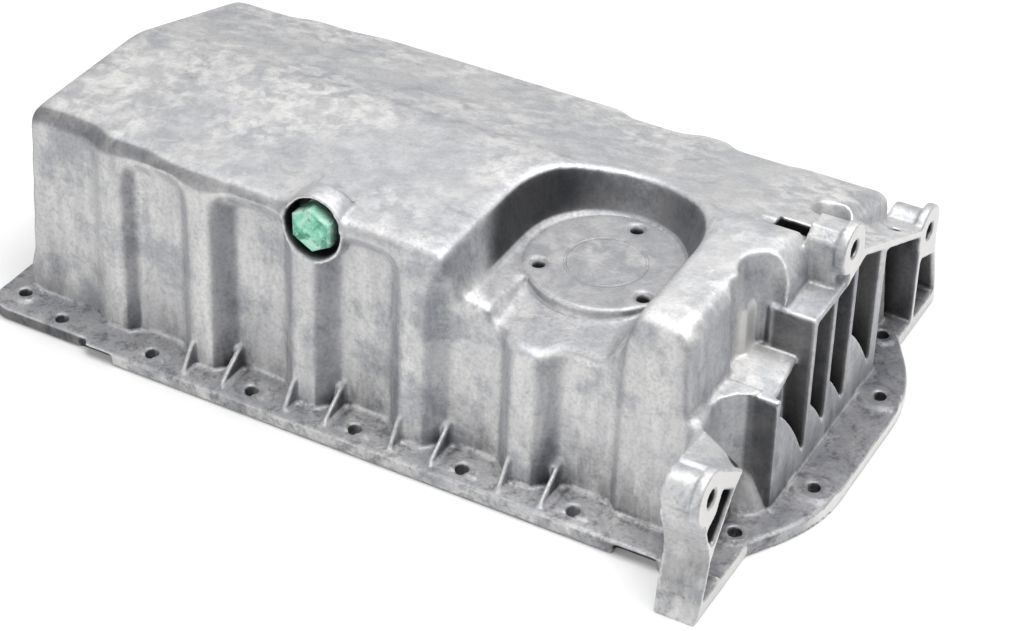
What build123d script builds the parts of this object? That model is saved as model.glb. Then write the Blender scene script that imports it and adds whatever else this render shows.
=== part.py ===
"""Engine oil pan: a die-cast aluminium sump that rests on its block flange, bottom up.

Frame: X runs along the engine towards the gearbox end, Z is up. The origin is the centre of the
rectangle of the four outer bolts of the two straight rows, on the sealing face of the block flange.
"""
from build123d import *
from math import cos, radians, sin, sqrt, tan
import os

os.makedirs("parts", exist_ok=True)

# Small overlap that makes two forms fuse, and the spare length of a cutter past what it cuts
bite = 2.0
spare = 20.0

# Trough
sump_height = 118.0
wall = 4.0
draft = 3.0
trough_half_width = 106.5
trough_left = 207.0
trough_right = 187.5
narrow_half_width = 95.5
narrow_end = 165.5
step_length = 12.0
step_rounding = 12.0
right_half_width = 102.0
right_step = 16.0
plan_corner = 14.0
far_corner = 55.0
near_corner = 24.0
near_corner_setback = 14.0
near_corner_run = (-54.0, -38.0)
top_rounding = 9.0
end_rounding = 17.0
slope_angle = 16.5
slope_start = -1.5
crease_rounding = 40.0

# Block flange
flange_thickness = 8.0
bolt_pitch = 60.0
bolts_per_row = 5
row_spacing = 221.0
bolt_hole_diameter = 7.0
row_margin = 10.0
left_margin = 14.5
corner_hole = (-206.0, 102.0)
end_hole = (-177.5, 109.0)
left_holes = (-214.0, 36.0)
corner_end = -157.0
corner_step = 3.0
corner_setback = 4.0
left_rounding = 14.0
bulge_reach = 22.5
bulge_half_length = 91.0
bulge_flat = 55.0
bulge_rounding = 85.0
inner_end_hole = (192.0, 87.3)
outer_end_hole = (210.7, 40.0)
hole_pad_height = 1.5
hole_pad_radius = 7.0
long_pad = (22.0, 17.0)
pry_slot = (22.5, 6.0, 6.0)
pry_slot_xs = (157.0, -150.0)
row_pad = (17.5, 22.0, 1.0)

# Flutes of the long walls, one round each bolt, and the gussets beside them
flute_depth = 9.5
flute_width = 47.0
flute_arch = 13.0
flute_height = 109.0
far_flute_heights = (62.0, 62.0, 62.0, 109.0, 109.0)
flute_shift = -2.0
flute_run_out = 3.0
gussets = ((22.3, 0.0), (44.6, 9.5))
gusset_thickness = 2.6
gusset_height = 13.5
gusset_toe = 0.5
gusset_reach = 10.0

# Drain boss with its pocket, and the M14 plug with its captive ring
plug_x = -28.0
plug_drop = 9.0
thread_diameter = 14.0
thread_length = 16.0
hexagon = 21.0
hexagon_turn = 30.0
hexagon_chamfer = 1.0
head_height = 10.0
head_collar_diameter = 20.5
head_collar = 1.2
ring_diameter = 22.0
ring_thickness = 1.8
shank_clearance = 0.1
drain_pocket_radius = 15.2
drain_boss_wall = 2.0
drain_seat_depth = 19.0
drain_boss_reach = 20.0
drain_boss_front = (-102.3, 91.0)
drain_boss_lean = 9.0
drain_boss_taper = 30.0

# Round pad in its pocket
pad_x = 93.4
pad_y = -32.6
pad_radius = 38.5
pad_depth = 25.0
pad_step = 0.9
pocket_x = 90.5
pocket_radius = 41.0
pocket_taper = 16.0
pad_hole_radius = 32.0
pad_hole_diameter = 6.4
pad_hole_sink = 9.0
pad_hole_depth = 12.0
pad_hole_boss = 6.5
pad_hole_angles = (90, 210, 330)
ring_mark_radius = 20.0
ring_mark_width = 1.2
ring_mark_depth = 0.5
ramp_left = 64.5
ramp_right = 127.0
ramp_drop = 0.5
ramp_near_drop = 10.0

# Gearbox end: its plane, the three ears and the arms that carry two of them, as (y, z)
gearbox_gap = 12.5
near_ear = (-135.0, 68.0)
far_ear = (119.1, 57.0)
mid_ear_y = 11.3
mid_ear_drop = 6.5
ear_hole_diameter = 9.0
ear_hole_depth = 32.0
ear_radius = 14.0
ear_collar = 5.0
boss_radius = 10.0
mid_boss_radius = 12.5
mid_boss_start = 179.5
arm_depth = 21.0
arm_wall = 4.0
far_arm_wall = [(74.0, 6.0), (74.0, 74.0), (114.0, 55.5), (125.0, 50.0), (125.0, 6.0)]
arm_foot_y = -143.5
arm_front_foot_y = -139.5
far_arm_foot_y = 142.1
near_arm_back = [
    (-144.9, 0.0),
    (-141.9, 19.5),
    (-138.0, 32.0),
    (-139.0, 43.0),
    (-144.5, 58.0),
    (-143.0, 66.0),
    (-127.0, 77.5),
    (-112.0, 75.0),
    (-100.0, 74.0),
    (-100.0, 0.0),
]
near_arm_front = [
    (-145.0, 0.0),
    (-135.5, 15.1),
    (-133.1, 28.1),
    (-135.5, 38.9),
    (-140.0, 54.0),
    (-138.0, 70.0),
    (-126.0, 77.8),
    (-112.0, 68.0),
    (-101.5, 59.5),
    (-101.5, 0.0),
]
near_arm_wall = [
    (188.0, -60.0),
    (186.5, -65.0),
    (180.0, -68.5),
    (175.5, -74.0),
    (174.0, -81.0),
    (176.0, -90.0),
    (179.5, -106.0),
    (182.0, -122.0),
    (178.0, -122.0),
    (174.0, -104.0),
    (168.0, -94.0),
    (160.0, -94.0),
    (160.0, -60.0),
]
far_arm = [(140.1, 14.0), (136.6, 28.0), (133.1, 40.0), (131.1, 52.0), (111.1, 62.0), (106.6, 50.0)]
near_upper_hollow = [
    (-123.0, 64.0),
    (-111.0, 55.5),
    (-121.0, 44.5),
    (-129.6, 36.5),
    (-134.5, 43.0),
    (-137.0, 50.5),
    (-128.5, 54.5),
    (-126.0, 59.0),
]
near_lower_hollow = [(-133.8, 14.0), (-130.5, 28.0), (-126.0, 33.0), (-120.0, 31.0)]
near_inner_hollow = [(-128.0, 32.0), (-108.0, 55.5), (-96.0, 62.5)]
far_hollow = [(111.1, 44.0), (122.1, 39.5), (129.1, 37.0), (132.6, 27.0), (136.1, 14.0)]
near_lower_feet = (-120.0, -136.6)
near_inner_feet = (-96.0, -119.0)
far_hollow_feet = (137.1, 111.1)

# Webs, shelves and curved feet between the end wall and the gearbox plane
web_thickness = 4.0
web_setback = 1.0
web_root_depth = 12.5
first_web = -62.5
second_web = -25.0
third_web = -2.0
fourth_web = 21.5
fifth_web = 56.0
sixth_web = 108.5
fifth_web_thickness = 8.5
fifth_web_top = 88.0
sixth_web_top = 58.0
upper_shelf_drop = 24.0
lower_shelf_top = 71.3
near_wall_top = 72.5
shelf_thickness = 4.0
rim_start_drop = 13.0
rim_end_height = 62.0
rim_thickness = 5.5
lower_shelf_edge = [(191.0, -25.0), (195.5, -62.0), (181.0, -66.0), (175.5, -74.0), (170.0, -80.0)]
corner_foot = (185.0, 13.5, 3.0, 24.0)
feet = [
    [(first_web, 64.0), (-42.0, 40.5), (second_web + 1, 8.0)],
    [(second_web, 45.0), (-10.0, 27.5), (third_web + 3, 8.0)],
    [(third_web, 44.0), (12.0, 27.0), (fourth_web + 2, 8.0)],
    [(fourth_web, 56.0), (41.0, 33.5), (fifth_web, 8.0)],
]

# Reliefs in the top edge of the gearbox end: (setback, y, bottom radius, top radius) of each scoop
upper_scoop = (12.0, -31.5, 8.0, 15.5)
lower_scoop = (10.5, -46.0, 11.0, 12.5)
far_scoop = (13.5, 48.5, 5.0, 18.0)
far_scoop_depth = 32.0
driver_relief = (9.5, -32.5, 9.5)
bolt_slot = (16.0, 11.5, 20.0)
bolt_slot_setback = 19.5
driver_groove_radius = 6.5
driver_groove_length = 24.5
driver_groove_drop = -1.5

lean = radians(draft)
near_row = -row_spacing / 2
first_bolt = -bolt_pitch * (bolts_per_row - 1) / 2
last_bolt = -first_bolt
bolt_xs = [first_bolt + bolt_pitch * i for i in range(bolts_per_row)]
plug_z = sump_height - plug_drop
pad_top = sump_height - pad_depth
pocket_floor = pad_top - pad_step
gearbox_plane = trough_right + gearbox_gap
arm_back = gearbox_plane - arm_depth
web_front = gearbox_plane - web_setback
web_root = trough_right - web_root_depth
collar_back = gearbox_plane - ear_collar
mid_ear = (mid_ear_y, sump_height - mid_ear_drop)
upper_shelf_top = sump_height - upper_shelf_drop
drain_boss_radius = drain_pocket_radius + drain_boss_wall
seat_y = -trough_half_width + drain_seat_depth
plug_frame = Plane(origin=(plug_x, seat_y, plug_z), x_dir=(1, 0, 0), z_dir=(0, -1, 0))


def trough_block(inset):
    """The plain trough, without flutes or pocket, with every face moved inwards by inset."""
    top = sump_height - inset
    with BuildPart() as block:
        with BuildSketch(Plane.XY.offset(flange_thickness)) as plan:
            with BuildLine():
                near = Polyline(
                    (-trough_left, 0),
                    (-trough_left, -narrow_half_width),
                    (-narrow_end, -narrow_half_width),
                    (-narrow_end + step_length, -right_half_width),
                    (first_bolt - right_step / 2, -right_half_width),
                    (first_bolt + right_step / 2, -trough_half_width),
                    (last_bolt - right_step / 2, -trough_half_width),
                    (last_bolt + right_step / 2, -right_half_width),
                )
                corner_x = trough_right - near_corner_setback
                Polyline(
                    (last_bolt + right_step / 2, -right_half_width),
                    (corner_x, -right_half_width),
                    (corner_x, near_corner_run[0]),
                    (trough_right, near_corner_run[1]),
                    (trough_right, right_half_width),
                    (last_bolt + right_step / 2, right_half_width),
                )
                mirror(near, about=Plane.XZ)
            make_face()
            if inset:
                offset(amount=-inset, kind=Kind.INTERSECTION)
            points = plan.vertices().sort_by(Axis.X)
            left_end = points[:2]
            near_end = points.filter_by(lambda v: v.Y < 0).sort_by(Axis.X)
            run = near_end[-3:].sort_by(Axis.Y)
            far_end = points.filter_by(lambda v: v.Y > 0).sort_by(Axis.X)[-1:]
            steps = [v for v in points if v not in left_end + run + far_end]
            fillet(steps + run[1:], step_rounding)
            fillet(left_end, plan_corner - inset)
            fillet(run[:1], near_corner - inset)
            fillet(far_end, far_corner - inset)
        extrude(amount=top - flange_thickness, taper=draft)
        with BuildSketch(Plane.YZ) as wedge:
            with BuildLine():
                run = trough_half_width + spare
                drop = run * tan(radians(slope_angle))
                Polyline(
                    (slope_start, top),
                    (slope_start + run, top - drop),
                    (slope_start + run, top + spare),
                    (slope_start, top + spare),
                    close=True,
                )
            make_face()
        extrude(amount=trough_left + spare, both=True, mode=Mode.SUBTRACT)
        crease = block.edges().filter_by(Axis.X).filter_by(
            lambda e: abs(e.center().Y - slope_start) < 0.1 and e.center().Z > top - 1
        )
        fillet(crease, crease_rounding)
        rim_faces = block.faces().filter_by(lambda f: f.normal_at().Z > 0.85)
        rim = block.edges().filter_by(
            lambda e: sum(1 for f in rim_faces if any(e.is_same(g) for g in f.edges())) == 1
        )
        fillet(rim, top_rounding - inset)
        # Larger rounding of the gearbox end's top edge
        radius = end_rounding - inset
        centre_z = top - radius
        centre_x = trough_right - (centre_z - flange_thickness) * tan(lean) - end_rounding / cos(lean)
        with BuildSketch(Plane.XZ):
            with BuildLine():
                arc_start = (centre_x, top)
                arc_middle = (centre_x + radius * sin(radians(45)), centre_z + radius * sin(radians(45)))
                arc_end = (centre_x + radius * cos(lean), centre_z + radius * sin(lean))
                ThreePointArc(arc_start, arc_middle, arc_end)
                Polyline(
                    arc_end,
                    (trough_right + spare, arc_end[1]),
                    (trough_right + spare, top + spare),
                    (centre_x, top + spare),
                    arc_start,
                )
            make_face()
        extrude(amount=trough_half_width + spare, both=True, mode=Mode.SUBTRACT)
    return block.part


def wall_plane(x, outside):
    """A plane on the leaning near wall at x, outside mm in front of it, with its normal inwards."""
    origin = (x, -trough_half_width - outside * cos(lean), flange_thickness)
    return Plane(origin=origin, x_dir=(-1, 0, 0), z_dir=(0, cos(lean), -sin(lean)))


def flute(x, height, grow):
    """What one flute takes out of the near wall, grown by grow for the hollow behind it."""
    half = flute_width / 2 + flute_run_out + grow * sqrt(2)
    top = height + grow
    with BuildPart() as cutter:
        with BuildSketch(wall_plane(x, flute_run_out)) as face:
            with BuildLine():
                Polyline((-half, -spare), (half, -spare), (half, top), (-half, top), close=True)
            make_face()
            fillet(face.vertices().group_by(Axis.Y)[-1], flute_arch + grow + flute_run_out)
        extrude(amount=flute_depth + flute_run_out + grow, taper=45)
    return cutter.part


def cut_flutes(grow):
    """Cut every flute of both long walls out of the part that is being built."""
    for x, far_height in zip(bolt_xs, far_flute_heights):
        add(flute(x + flute_shift, flute_height, grow), mode=Mode.SUBTRACT)
        far = flute(x + flute_shift, far_height, grow)
        add(mirror(far, about=Plane.XZ, mode=Mode.PRIVATE), mode=Mode.SUBTRACT)


def pad_pocket(grow):
    """The pocket of the round pad, open towards the near wall, grown by grow for the hollow."""
    floor = pocket_floor - grow
    radius = pocket_radius + grow
    back = pad_y + wall + grow
    with BuildPart() as cutter:
        with BuildSketch(Plane.XY.offset(floor)):
            with Locations((pocket_x, pad_y)):
                Circle(radius)
                Rectangle(2 * radius, trough_half_width, align=(Align.CENTER, Align.MAX))
        extrude(amount=sump_height + spare - floor, taper=-pocket_taper)
        with BuildSketch(Plane.YZ.offset(ramp_left - grow)):
            with BuildLine():
                Polyline(
                    (back, pad_top),
                    (back, pad_top - ramp_drop - grow),
                    (near_row + row_margin, pad_top - ramp_near_drop - grow),
                    (near_row - spare, pad_top - 2 * ramp_near_drop - grow),
                    (near_row - spare, sump_height),
                    close=True,
                )
            make_face()
        extrude(amount=ramp_right - ramp_left + 2 * grow)
    return cutter.part


def pad_disc():
    """The round pad that stands above the pocket floor."""
    with BuildPart() as disc:
        with BuildSketch(Plane.XY.offset(pad_top - spare)):
            with Locations((pad_x, pad_y)):
                Circle(pad_radius)
        extrude(amount=spare)
    return disc.part


def scoop(form, bottom, grow):
    """One cone-shaped scoop that widens upwards through the top edge."""
    setback, y, low_radius, high_radius = form
    with BuildPart() as cutter:
        with Locations((trough_right - setback, y, bottom - grow)):
            Cone(
                low_radius + grow,
                high_radius + grow,
                sump_height + wall - bottom + grow,
                align=(Align.CENTER, Align.CENTER, Align.MIN),
            )
    return cutter.part


def end_reliefs(grow):
    """The scoops, the driver's way and the bolt slot in the top edge of the gearbox end."""
    setback, relief_y, relief_radius = driver_relief
    slot_length, slot_width, slot_height = bolt_slot
    slot_x = trough_right - bolt_slot_setback
    slot_bottom = mid_ear[1] - slot_height / 2
    with BuildPart() as cutter:
        add(scoop(upper_scoop, upper_shelf_top, grow))
        add(scoop(lower_scoop, lower_shelf_top, grow))
        add(scoop(far_scoop, sump_height - far_scoop_depth, grow))
        with Locations((trough_right - setback, relief_y, lower_shelf_top - grow)):
            relief_height = upper_shelf_top - lower_shelf_top + bite + grow
            Cylinder(relief_radius + grow, relief_height, align=(Align.CENTER, Align.CENTER, Align.MIN))
        with Locations((slot_x, mid_ear_y, slot_bottom - grow)):
            Box(
                slot_length + 2 * grow,
                slot_width + 2 * grow,
                slot_height + spare,
                align=(Align.CENTER, Align.CENTER, Align.MIN),
            )
        groove = Plane.YZ.offset(slot_x + slot_length / 2 - driver_groove_length + grow)
        with BuildSketch(groove):
            with Locations((mid_ear_y, sump_height - driver_groove_drop)):
                Circle(driver_groove_radius + grow)
        extrude(amount=driver_groove_length)
    return cutter.part


def foot_block(arc):
    """One curved foot between two webs, from its web edge down to the flange."""
    start, middle, end = arc
    low = flange_thickness - bite
    with BuildPart() as foot:
        with BuildSketch(Plane.YZ.offset(web_root)):
            with BuildLine():
                ThreePointArc(start, middle, end)
                Polyline(end, (end[0], low), (start[0], low), start)
            make_face()
        extrude(amount=web_front - web_root)
    return foot.part


def web(y, thickness, top):
    """One upright web from the end wall to the gearbox plane."""
    with BuildPart() as block:
        with Locations(((web_root + web_front) / 2, y, flange_thickness - bite)):
            Box(
                web_front - web_root,
                thickness,
                top - flange_thickness + bite,
                align=(Align.CENTER, Align.CENTER, Align.MIN),
            )
    return block.part


def prism(points, start, length):
    """A block with the (y, z) outline points, from x = start on for length."""
    with BuildPart() as block:
        with BuildSketch(Plane.YZ.offset(start)):
            with BuildLine():
                Polyline(*points, close=True)
            make_face()
        extrude(amount=length)
    return block.part


with BuildPart() as flange:
    with BuildSketch(Plane.XY) as outline:
        with BuildLine():
            row_edge = near_row - row_margin
            corner_y = row_edge + corner_setback
            left_edge = left_holes[0] - left_margin / 2
            near_edge = Polyline(
                (left_edge, 0),
                (left_edge, corner_y),
                (corner_end, corner_y),
                (corner_end + corner_step, row_edge),
                (arm_back, row_edge),
                (arm_back, arm_foot_y),
                (gearbox_plane, arm_front_foot_y),
                (gearbox_plane, -bulge_half_length),
                (gearbox_plane + bulge_reach, -bulge_flat),
                (gearbox_plane + bulge_reach, 0),
            )
            mirror(near_edge, about=Plane.XZ)
        make_face()
        fillet(outline.vertices().group_by(Axis.X)[0], left_rounding)
        fillet(outline.vertices().group_by(Axis.X)[-1], bulge_rounding)
    extrude(amount=flange_thickness)
    with BuildSketch(Plane.XY.offset(flange_thickness)):
        for side in (-1, 1):
            with Locations((outer_end_hole[0], side * outer_end_hole[1])):
                SlotOverall(*long_pad)
            with Locations((inner_end_hole[0], side * inner_end_hole[1])):
                Circle(hole_pad_radius)
            with Locations((corner_hole[0], side * corner_hole[1])):
                Circle(hole_pad_radius)
    extrude(amount=hole_pad_height)
    pad_length, pad_reach, pad_height = row_pad
    with BuildSketch(Plane.XY.offset(flange_thickness)):
        with Locations(*[(x, side * (near_row + row_margin - bite)) for x in bolt_xs for side in (-1, 1)]):
            Rectangle(pad_length, pad_reach)
    extrude(amount=pad_height)

with BuildPart() as skin:
    add(trough_block(0))
    cut_flutes(0)
    add(pad_pocket(0) - pad_disc(), mode=Mode.SUBTRACT)
    add(end_reliefs(0), mode=Mode.SUBTRACT)

with BuildPart() as core:
    add(trough_block(wall))
    with BuildSketch(Plane.XY.offset(flange_thickness)):
        add(core.faces().sort_by(Axis.Z)[0])
    extrude(amount=-flange_thickness - bite)
    cut_flutes(wall)
    add(pad_pocket(wall), mode=Mode.SUBTRACT)
    add(end_reliefs(wall), mode=Mode.SUBTRACT)

with BuildPart() as gearbox_end:
    add(web(first_web, web_thickness, lower_shelf_top))
    add(web(second_web, web_thickness, upper_shelf_top))
    add(web(third_web, web_thickness, upper_shelf_top))
    add(web(fourth_web, web_thickness, upper_shelf_top))
    add(web(fifth_web, fifth_web_thickness, fifth_web_top))
    add(web(sixth_web, web_thickness, sixth_web_top))
    # Upper shelf between the second web and the middle ear
    second_face = second_web - web_thickness / 2
    with BuildSketch(Plane.XY.offset(upper_shelf_top - shelf_thickness)):
        with BuildLine():
            Polyline(
                (web_root, second_face),
                (web_front, second_face),
                (web_front, mid_ear_y),
                (web_root, mid_ear_y),
                close=True,
            )
        make_face()
    extrude(amount=shelf_thickness)
    # Lower shelf between the first and second webs, tapering to a ledge towards the near ear
    shelf_end = (web_root - spare, lower_shelf_edge[-1][1])
    with BuildSketch(Plane.XY.offset(lower_shelf_top - shelf_thickness)):
        with BuildLine():
            Polyline((shelf_end[0], second_web), *lower_shelf_edge, shelf_end, close=True)
        make_face()
    extrude(amount=shelf_thickness)
    # Curved wall from the first web to the near ear, and the foot where it meets that web
    with BuildSketch(Plane.XY.offset(flange_thickness - bite)):
        with BuildLine():
            Polyline(*near_arm_wall, close=True)
        make_face()
    extrude(amount=near_wall_top - flange_thickness + bite)
    foot_x, foot_low_radius, foot_high_radius, foot_height = corner_foot
    with Locations((foot_x, first_web, flange_thickness - bite)):
        Cone(
            foot_low_radius,
            foot_high_radius,
            foot_height,
            align=(Align.CENTER, Align.CENTER, Align.MIN),
        )
    # Sloping rim from the middle ear to the far ear
    rim_start = (mid_ear_y + mid_boss_radius, sump_height - rim_start_drop)
    rim_end = (far_ear[0] - boss_radius / 2, rim_end_height)
    rim_outline = [
        rim_start,
        rim_end,
        (rim_end[0], rim_end[1] - rim_thickness),
        (rim_start[0], rim_start[1] - rim_thickness),
    ]
    add(prism(rim_outline, web_root, gearbox_plane - web_root))
    for arc in feet:
        add(foot_block(arc))
    # Wall behind the last two webs, from the trough's rounded corner to the far arm
    add(prism(far_arm_wall, web_root - wall, wall))
    # Middle ear: its block with an upright near side and a low round top, and its collar
    ear_y, ear_z = mid_ear
    block_outline = [
        (ear_y - 11, ear_z - 19),
        (ear_y + 12, ear_z - 16),
        (ear_y + mid_boss_radius, ear_z + 3),
        (ear_y + 7, ear_z + 9.5),
        (ear_y - 5, ear_z + 10.5),
        (ear_y - 11, ear_z + 6),
    ]
    add(prism(block_outline, mid_boss_start, collar_back - mid_boss_start))
    collar_outline = [
        (ear_y - 4, ear_z - 19),
        (ear_y + 17, ear_z - 14),
        (ear_y + 14, ear_z - 8),
        (ear_y + 13, ear_z),
        (ear_y, ear_z),
    ]
    add(prism(collar_outline, collar_back, ear_collar))
    # The two arms with their bosses, and the ears' collars
    far_outline = [(far_arm_foot_y, 0), *far_arm, (far_arm[-1][0], 0)]
    add(prism(far_outline, arm_back, arm_depth))
    with BuildSketch(Plane.YZ.offset(arm_back)):
        with BuildLine():
            Polyline(*near_arm_back, close=True)
        make_face()
    with BuildSketch(Plane.YZ.offset(gearbox_plane)):
        with BuildLine():
            Polyline(*near_arm_front, close=True)
        make_face()
    loft(ruled=True)
    with BuildSketch(Plane.YZ.offset(arm_back)):
        with Locations(near_ear, far_ear):
            Circle(boss_radius)
    extrude(amount=arm_depth)
    with BuildSketch(Plane.YZ.offset(collar_back)):
        with Locations(near_ear, far_ear):
            Circle(ear_radius)
        with Locations(mid_ear):
            Circle(ear_radius - 1)
    extrude(amount=ear_collar)
    # Hollows of the two arms, open towards the gearbox
    floor = flange_thickness
    hollow_start = arm_back + arm_wall
    hollows = [
        near_upper_hollow,
        [*near_lower_hollow, *[(y, floor) for y in near_lower_feet]],
        [*near_inner_hollow, *[(y, floor) for y in near_inner_feet]],
        [*far_hollow, *[(y, floor) for y in far_hollow_feet]],
    ]
    for hollow in hollows:
        add(prism(hollow, hollow_start, arm_depth), mode=Mode.SUBTRACT)

with BuildPart() as drain_boss:
    # It tapers inwards past its seat, and its front leans back
    with BuildSketch(plug_frame.offset(-wall)):
        Circle(drain_boss_radius)
    extrude(amount=wall + drain_boss_reach)
    with BuildSketch(plug_frame):
        Circle(drain_boss_radius)
    extrude(amount=-thread_length, taper=drain_boss_taper)
    tilt = radians(drain_boss_lean)
    boss_front = Plane(origin=(plug_x, *drain_boss_front), x_dir=(1, 0, 0), z_dir=(0, cos(tilt), -sin(tilt)))
    split(bisect_by=boss_front, keep=Keep.TOP)

with BuildPart() as sump_casting:
    add(skin.part)
    add(flange.part)
    add(gearbox_end.part)
    # Gussets between the flange and the walls, two between each two bolts, on both long walls
    for x in bolt_xs[:-1]:
        for gap, depth in gussets:
            with BuildSketch(Plane.YZ.offset(x + gap - gusset_thickness / 2)):
                with BuildLine():
                    Polyline(
                        (-trough_half_width - gusset_reach, flange_thickness - bite),
                        (-trough_half_width - gusset_reach, flange_thickness + gusset_toe),
                        (-trough_half_width + depth, flange_thickness + gusset_height),
                        (-trough_half_width + flute_depth + bite, flange_thickness + gusset_height),
                        (-trough_half_width + flute_depth + bite, flange_thickness - bite),
                        close=True,
                    )
                make_face()
                mirror(about=Plane.YZ)
            extrude(amount=gusset_thickness)
    add(core.part, mode=Mode.SUBTRACT)
    # Drain boss with its pocket and its threaded bore
    add(drain_boss.part)
    with BuildSketch(plug_frame):
        Circle(drain_pocket_radius)
    extrude(amount=drain_seat_depth + spare, mode=Mode.SUBTRACT)
    with BuildSketch(plug_frame.offset(-thread_length - spare)):
        Circle(thread_diameter / 2 + shank_clearance)
    extrude(amount=thread_length + 2 * spare, mode=Mode.SUBTRACT)
    # Bolt holes of the flange
    hole_points = [(x, side * near_row) for x in bolt_xs for side in (-1, 1)]
    for x, y in (corner_hole, end_hole, left_holes, inner_end_hole, outer_end_hole):
        hole_points += [(x, -y), (x, y)]
    with Locations(*[(x, y, flange_thickness + hole_pad_height) for x, y in hole_points]):
        Hole(bolt_hole_diameter / 2)
    # Ear holes
    for y, z in (near_ear, mid_ear, far_ear):
        with Locations(Plane(origin=(gearbox_plane, y, z), x_dir=(0, 1, 0), z_dir=(1, 0, 0))):
            Hole(ear_hole_diameter / 2, depth=ear_hole_depth)
    # Blind holes of the pad, each in a boss on the inside, and the ring mark
    pad_holes = [
        (pad_x + pad_hole_radius * cos(radians(angle)), pad_y + pad_hole_radius * sin(radians(angle)))
        for angle in pad_hole_angles
    ]
    with BuildSketch(Plane.XY.offset(pad_top - pad_hole_depth - wall)):
        with Locations(*pad_holes):
            Circle(pad_hole_boss)
    extrude(amount=pad_hole_depth)
    with Locations(*[(x, y, pad_top) for x, y in pad_holes]):
        CounterSinkHole(pad_hole_diameter / 2, pad_hole_sink / 2, depth=pad_hole_depth)
    with BuildSketch(Plane.XY.offset(pad_top)):
        with Locations((pad_x, pad_y)):
            Circle(ring_mark_radius)
            Circle(ring_mark_radius - ring_mark_width, mode=Mode.SUBTRACT)
    extrude(amount=-ring_mark_depth, mode=Mode.SUBTRACT)
    # Pry slots under the near edge of the flange
    slot_length, slot_depth, slot_height = pry_slot
    with Locations(*[(x, near_row - row_margin, 0) for x in pry_slot_xs]):
        Box(slot_length, 2 * slot_depth, 2 * slot_height, mode=Mode.SUBTRACT)
sump_casting.part.label = "sump_casting"

with BuildPart() as seal_ring:
    with BuildSketch(plug_frame):
        Circle(ring_diameter / 2)
        Circle(thread_diameter / 2 + shank_clearance, mode=Mode.SUBTRACT)
    extrude(amount=ring_thickness)
seal_ring.part.label = "seal_ring"

with BuildPart() as drain_plug:
    with BuildSketch(plug_frame.offset(-thread_length)):
        Circle(thread_diameter / 2)
    extrude(amount=thread_length + ring_thickness)
    with BuildSketch(plug_frame.offset(ring_thickness)):
        Circle(head_collar_diameter / 2)
    extrude(amount=head_collar)
    with BuildSketch(plug_frame.offset(ring_thickness + head_collar)):
        RegularPolygon(hexagon / 2, 6, major_radius=False, rotation=hexagon_turn)
    extrude(amount=head_height)
    chamfer(drain_plug.faces().sort_by(Axis.Y)[0].edges(), hexagon_chamfer)
drain_plug.part.label = "drain_plug"

export_step(sump_casting.part, "parts/sump_casting.step")
export_step(seal_ring.part, "parts/seal_ring.step")
export_step(drain_plug.part, "parts/drain_plug.step")
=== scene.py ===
"""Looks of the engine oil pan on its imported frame, laid out as an add-on and run as a script."""
from math import pi, radians

import bmesh
import bpy
import numpy as np
from mathutils import Matrix, Vector
from mathutils.bvhtree import BVHTree


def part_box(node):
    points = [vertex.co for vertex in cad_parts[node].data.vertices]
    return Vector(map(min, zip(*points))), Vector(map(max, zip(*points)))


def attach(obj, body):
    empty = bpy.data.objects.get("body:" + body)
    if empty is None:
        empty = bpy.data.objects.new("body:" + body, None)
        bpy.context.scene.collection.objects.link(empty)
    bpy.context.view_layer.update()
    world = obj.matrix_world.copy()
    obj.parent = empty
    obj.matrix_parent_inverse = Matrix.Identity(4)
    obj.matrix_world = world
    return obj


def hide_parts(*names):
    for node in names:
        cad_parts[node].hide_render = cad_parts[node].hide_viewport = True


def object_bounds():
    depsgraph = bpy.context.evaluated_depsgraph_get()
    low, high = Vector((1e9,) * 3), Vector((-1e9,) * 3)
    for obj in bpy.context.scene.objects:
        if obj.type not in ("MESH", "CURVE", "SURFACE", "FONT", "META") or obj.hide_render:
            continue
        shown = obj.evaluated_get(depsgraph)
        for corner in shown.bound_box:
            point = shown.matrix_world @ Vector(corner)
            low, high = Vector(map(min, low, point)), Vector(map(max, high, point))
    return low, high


bl_info = {
    "name": "Engine oil pan looks",
    "version": (1, 0, 0),
    "blender": (4, 5, 0),
    "location": "3D View > Sidebar > Oil Pan",
    "description": "Cast skin, drain plug, seal ring and stage of an engine oil pan",
    "category": "Object",
}

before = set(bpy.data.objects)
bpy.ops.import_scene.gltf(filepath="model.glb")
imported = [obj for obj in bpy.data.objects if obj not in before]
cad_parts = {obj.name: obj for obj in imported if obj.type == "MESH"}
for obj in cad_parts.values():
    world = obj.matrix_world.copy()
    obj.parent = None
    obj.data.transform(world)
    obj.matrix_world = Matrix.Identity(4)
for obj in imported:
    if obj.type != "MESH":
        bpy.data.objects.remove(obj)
CAD_LOW, CAD_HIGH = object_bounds()
RING_LOW, RING_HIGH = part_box("seal_ring")
PLUG_AXIS = Vector(((RING_LOW.x + RING_HIGH.x) / 2, RING_HIGH.y, (RING_LOW.z + RING_HIGH.z) / 2))

# Points on the casting that its finish follows, in metres
PAD_CENTRE = (0.0934, -0.0326, 0.093)
PAD_RING = 0.0196  # radius of the ring marked on the pad
SLOT_CENTRE = (0.168, 0.0113)  # slot behind the middle ear, in x and y
CREASE_Y = 0.0085  # faint crease along the top
EAR_BORES = ((-0.135, 0.068), (0.0113, 0.1115), (0.1191, 0.057))  # y and z

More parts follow.
